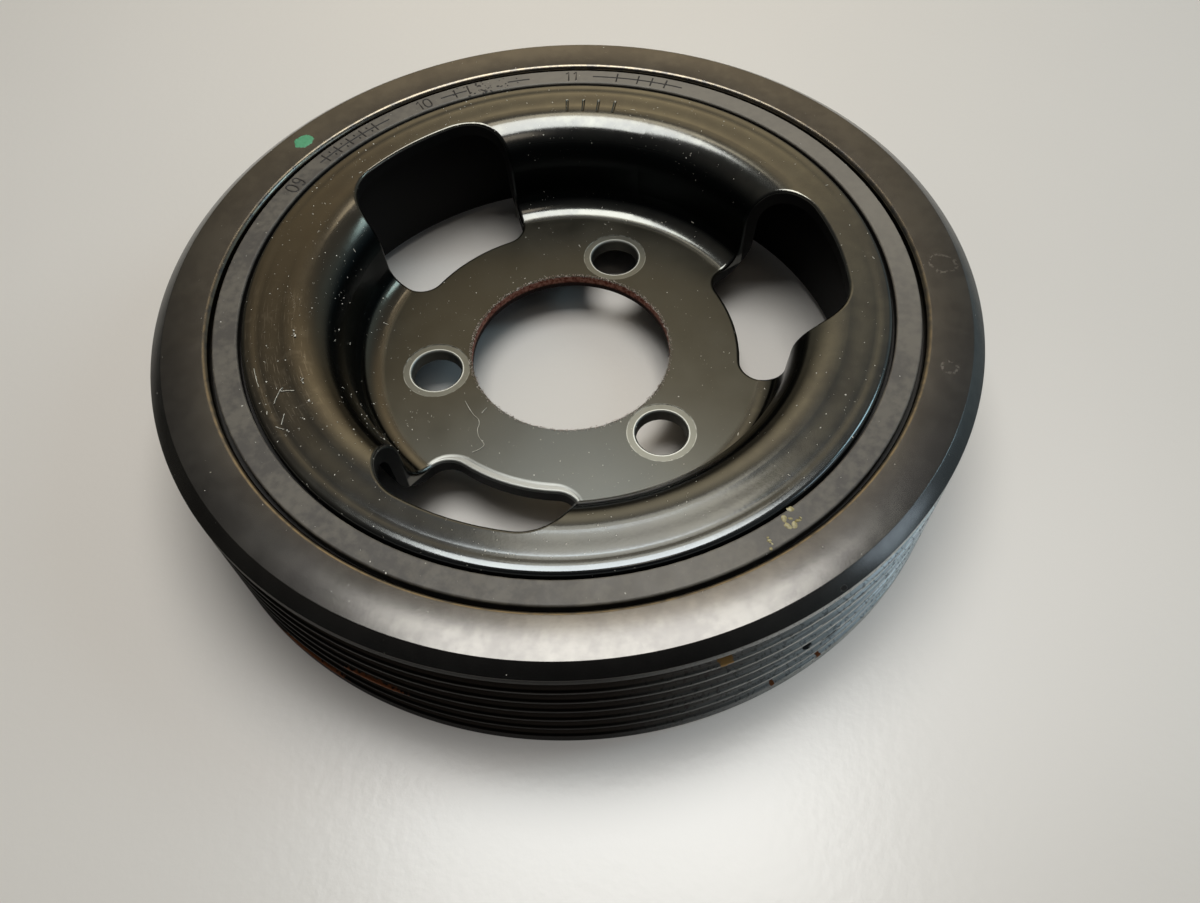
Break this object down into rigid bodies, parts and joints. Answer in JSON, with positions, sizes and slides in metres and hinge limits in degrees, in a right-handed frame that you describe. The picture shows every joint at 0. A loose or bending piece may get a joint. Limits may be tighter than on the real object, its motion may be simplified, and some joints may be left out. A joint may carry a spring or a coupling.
{
  "type": "belt pulley",
  "caption": "Grooved crankshaft belt pulley with a cup-shaped pressed steel hub, a bonded rubber ring and a heavy outer ring that damps torsion.",
  "frame": {"origin": "centre of the heavy ring's back face, on the axis of rotation; the pulley rests on this face", "axes": "+Z along the axis of rotation, towards the front (the open side of the cup); one bolt hole lies on +X"},
  "size_m": [0.13, 0.13, 0.026],
  "materials": {
    "coated_steel": "thin dark coating over pressed steel sheet, glossy, worn and scratched",
    "rubber": "matt moulded rubber with dust",
    "cast_ring": "turned and darkened, satin, bright where it is worn"
  },
  "bodies": {
    "root": {"hub": "coated_steel", "rubber_ring": "rubber", "pulley_ring": "cast_ring"}
  },
  "joints": []
}
